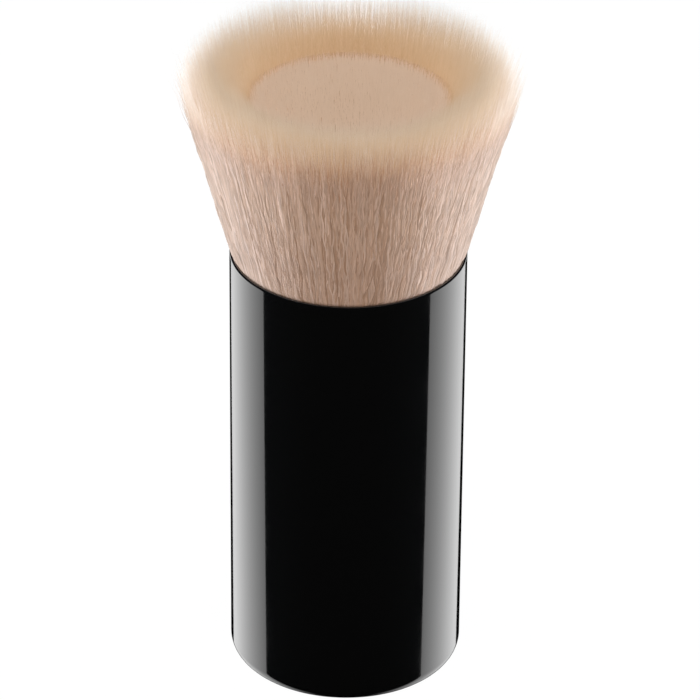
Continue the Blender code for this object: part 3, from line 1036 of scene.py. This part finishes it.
def ring_fibres(bundle):
    """The upper ends of the fibres between the dish and the flank, in one bundle, as two objects.

    Outside the crest ever more of them have the shoulder's dye: a smooth step of the radius gives their
    share.
    """
    first = SWEEP * (bundle - 1)
    share, angle = draw_in_ring(RING_PER_BUNDLE, first, MIDDLE_SHARE - DISH_EDGE, OUTER_INNER_SHARE)
    tip = draw_tips(share)
    length_share = np.maximum(fringe_depth(share) / POINT_DISTANCES[-1], SHORTEST_POINT_SHARE)[:, None]
    from_tip = POINT_DISTANCES[::-1][None, :] * length_share
    level = tip[:, None] - from_tip
    no_splay = np.zeros(len(share))
    lines = centre_lines(share, angle, level, RING_LOCKS, RING_PULL, RING_WAVE, RING_LEAN, no_splay)
    widths = RING_HALF_WIDTH * POINT_WIDTH_SHARES[::-1][None, :] + 0.0 * from_tip
    tints = draw_tints(share, angle)
    normals = tuft_normal(lines, share)
    past_crest = smooth((share * HEAD_RADIUS - CREST_RADIUS) / SHOULDER_MIX)
    outside = rng.uniform(0.0, 1.0, len(share)) < past_crest
    depth = np.where(outside[:, None], SHOULDER_DYE_SHARE * from_tip, dye_and_shade_depth(share, from_tip))
    kinds = (("inner_fibres", ~outside, ring_dyed), ("shoulder_fibres", outside, shoulder_dyed))
    return [
        fibre_object(
            f"{name}_{bundle}", lines[own], widths[own], tints[own], depth[own], normals[own],
            OWN_NORMAL_SHARE, dyed,
        )
        for name, own, dyed in kinds
    ]


for bundle in range(1, BUNDLES + 1):
    for piece in (outer_fibres(bundle), *ring_fibres(bundle)):
        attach(piece, "root")
        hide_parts(f"long_bundle_{bundle}")

# %% [markdown]
# The middle tuft is cut level, and its ends make the dish's floor. One smooth sheet would look like
# felt there, so its fibres are modelled too, but only their upper ends. Each keeps its width up to
# its last two millimetres and then comes to a point, which from above gives the floor its fine
# grain. The dye is a little paler in the middle of the floor.

# %% Middle fibres, whose cut ends are the dish's floor
MIDDLE_FIBRES = 19000
MIDDLE_LENGTH = 4.0 * MM
MIDDLE_STATIONS = 3
MIDDLE_HALF_WIDTH = 0.055 * MM
MIDDLE_EDGE = 0.005
MIDDLE_TIP_SPREAD = 0.12 * MM
MIDDLE_LOCKS = 120
MIDDLE_PULL = 0.1
MIDDLE_WAVE = 0.05 * MM
MIDDLE_LEAN = 0.1 * MM
CENTRE_DYE_DEPTH = 3.0 * MM
MIDDLE_NORMAL_SHARE = 0.1

share = np.sqrt(rng.uniform(0.0, (MIDDLE_SHARE + MIDDLE_EDGE) ** 2, MIDDLE_FIBRES))
angle = rng.uniform(0.0, 2.0 * np.pi, MIDDLE_FIBRES)
tip = DISH_FLOOR_LEVEL + rng.normal(0.0, MIDDLE_TIP_SPREAD, MIDDLE_FIBRES)
level = station_levels(tip - MIDDLE_LENGTH, tip, MIDDLE_STATIONS)
no_splay = np.zeros(MIDDLE_FIBRES)
lines = centre_lines(share, angle, level, MIDDLE_LOCKS, MIDDLE_PULL, MIDDLE_WAVE, MIDDLE_LEAN, no_splay)
from_tip = tip[:, None] - level
widths = np.full_like(level, MIDDLE_HALF_WIDTH)
from_edge = (1.0 - (share / MIDDLE_SHARE) ** 2)[:, None].clip(0.0)
dye_place = from_tip + CENTRE_DYE_DEPTH * from_edge
normals = tuft_normal(lines, share)
tints = draw_tints(share, angle)
middle = fibre_object(
    "middle_fibres", lines, widths, tints, dye_place, normals, MIDDLE_NORMAL_SHARE, middle_dyed
)
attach(middle, "root")
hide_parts("middle_tuft")

# %% [markdown]
# Behind the fibres that can be seen stand those that can't. They are one turned body, just under the
# fringe and just inside the outer fibres, so that no view looks into an empty head. Its grain runs up
# along the fibres and is drawn coarser than they are, or it wouldn't show.

# %% Packed fibres inside
PACKED_DEPTH = 1.5 * MM
PACKED_SHARE = 0.94
PACKED_AROUND = 96
TOP_POINTS = 12
SIDE_POINTS = 14
GRAIN_WIDTH = MM / 3.5
GRAIN_LENGTH = 4.0 * MM

packed_shade_look, tree = new_material("packed_fibre_painted_shade")
here = add(tree, "ShaderNodeTexCoord").outputs["Object"]
fine = add(tree, "ShaderNodeMapping", inputs={
    "Vector": here,
    "Scale": (1.0 / GRAIN_WIDTH, 1.0 / GRAIN_WIDTH, 1.0 / GRAIN_LENGTH),
})
grain = add(tree, "ShaderNodeTexNoise", inputs={
    "Vector": fine.outputs["Vector"],
    "Scale": 1.0,
    "Detail": 2.0,
})
# The packed body's darker browns are painted shade, seen in the gaps between the fibres in front.
colour = add(tree, "ShaderNodeValToRGB", inputs={"Fac": grain.outputs["Fac"]}, stops=[
    (NOISE_LOW, "#A9805F"),
    (NOISE_HIGH, "#B88E6E"),
])
principled("packed_fibre_painted_shade", tree, {
    "Base Color": colour.outputs["Color"],
    "Roughness": 0.8,
    "Specular IOR Level": 0.2,
})

packed_shares = np.linspace(MIDDLE_SHARE, PACKED_SHARE, TOP_POINTS)
unlifted_share = 1.0 - TIP_LIFT / POINT_DISTANCES[-1]
packed_depths = fringe_depth(packed_shares) * unlifted_share + PACKED_DEPTH
packed_tops = ring_tip_level(packed_shares) - packed_depths
ring_top = np.column_stack([packed_shares * whole_radius(packed_tops), packed_tops])


def packed_side(share, high):
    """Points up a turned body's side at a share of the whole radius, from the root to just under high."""
    level = np.linspace(ROOT_LEVEL, high, SIDE_POINTS)[:-1]
    return np.column_stack([share * whole_radius(level), level])


ring_profile = np.vstack([
    packed_side(MIDDLE_SHARE, packed_tops[0]),
    ring_top,
    packed_side(PACKED_SHARE, packed_tops[-1])[::-1],
])
middle_high = DISH_FLOOR_LEVEL - PACKED_DEPTH
middle_radius = MIDDLE_SHARE * whole_radius(middle_high)
middle_profile = np.vstack([
    [(0.0, middle_high), (middle_radius, middle_high)],
    packed_side(MIDDLE_SHARE, middle_high)[::-1],
    [(0.0, ROOT_LEVEL)],
])
packed_ring = turned_object("packed_ring_fibres", ring_profile, PACKED_AROUND, packed_shade_look, closed=True)
packed_ring.visible_shadow = False
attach(packed_ring, "root")
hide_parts(*[f"long_bundle_{bundle}" for bundle in range(1, BUNDLES + 1)])
packed_middle = turned_object("packed_middle_fibres", middle_profile, PACKED_AROUND, packed_shade_look)
packed_middle.visible_shadow = False
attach(packed_middle, "root")
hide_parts("middle_tuft")
print("The packed body stands up to", round(float(packed_tops.max()) / MM, 1), "mm")

# %% [markdown]
# Inside the barrel, out of sight, are the pieces that hold the brush together. Each keeps its solid
# from the frame and gets the finish of its real material, so that the brush also looks right when
# it is taken apart. The drawn aluminium cup is polished while it turns, which leaves fine rings,
# and zinc plating is a cloudy satin. Moulded polypropylene has a dull fine grain. Cured epoxy is
# glossy and amber, foam tape is pale and matt, and wound thread shows its turns.

# %% Finishes of the inner pieces
RELIEF_SHARE = 0.1


def grainy(name, size, low, high, stretch=(1.0, 1.0, 1.0), bump=0.0, **shader_inputs):
    """A material with noise of one real size, stretched along the axes, as two colours and as a bump."""
    material, tree = new_material(name)
    here = add(tree, "ShaderNodeTexCoord").outputs["Object"]
    scale = [1.0 / (size * s) for s in stretch]
    spot = add(tree, "ShaderNodeMapping", inputs={"Vector": here, "Scale": scale})
    noise = add(tree, "ShaderNodeTexNoise", inputs={
        "Vector": spot.outputs["Vector"],
        "Scale": 1.0,
        "Detail": 3.0,
    })
    stops = [(NOISE_LOW, low), (NOISE_HIGH, high)]
    colour = add(tree, "ShaderNodeValToRGB", inputs={"Fac": noise.outputs["Fac"]}, stops=stops)
    relief = add(tree, "ShaderNodeBump", inputs={
        "Height": noise.outputs["Fac"],
        "Strength": bump,
        "Distance": RELIEF_SHARE * size,
    })
    values = {key.replace("_", " "): value for key, value in shader_inputs.items()}
    values.update({"Base Color": colour.outputs["Color"], "Normal": relief.outputs["Normal"]})
    principled(name, tree, values)
    return material


RING_STRETCH = (40.0, 40.0, 1.0)
TURN_STRETCH = (6.0, 6.0, 1.0)
inner_finishes = {
    "ferrule": grainy(
        "drawn_aluminium", 0.05 * MM, "#CFD1D3", "#E4E5E6", RING_STRETCH, 0.2, Metallic=1.0,
        Roughness=0.28,
    ),
    "weight_slug": grainy(
        "zinc_plated_steel", 0.6 * MM, "#A9ACB1", "#C3C6CA", bump=0.1, Metallic=1.0, Roughness=0.4
    ),
    "handle_core": grainy(
        "moulded_polypropylene", 0.15 * MM, "#2D2D2F", "#37373A", bump=0.4, Roughness=0.6
    ),
    "root_potting": grainy(
        "cured_epoxy", 2.5 * MM, "#A8874F", "#C7A66B", Roughness=0.15, IOR=1.55, Coat_Weight=0.5
    ),
    "base_pad": grainy(
        "acrylic_foam_tape", 0.3 * MM, "#D3D1CB", "#E2E0DB", bump=0.6, Roughness=0.85
    ),
    "tie_band": grainy(
        "wound_polyester_thread", 0.2 * MM, "#CFC8B8", "#E6E0D2", TURN_STRETCH, 0.8, Roughness=0.8
    ),
}
for node, finish in inner_finishes.items():
    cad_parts[node].material_slots[0].material = finish
print("Inner pieces finished:", ", ".join(inner_finishes))
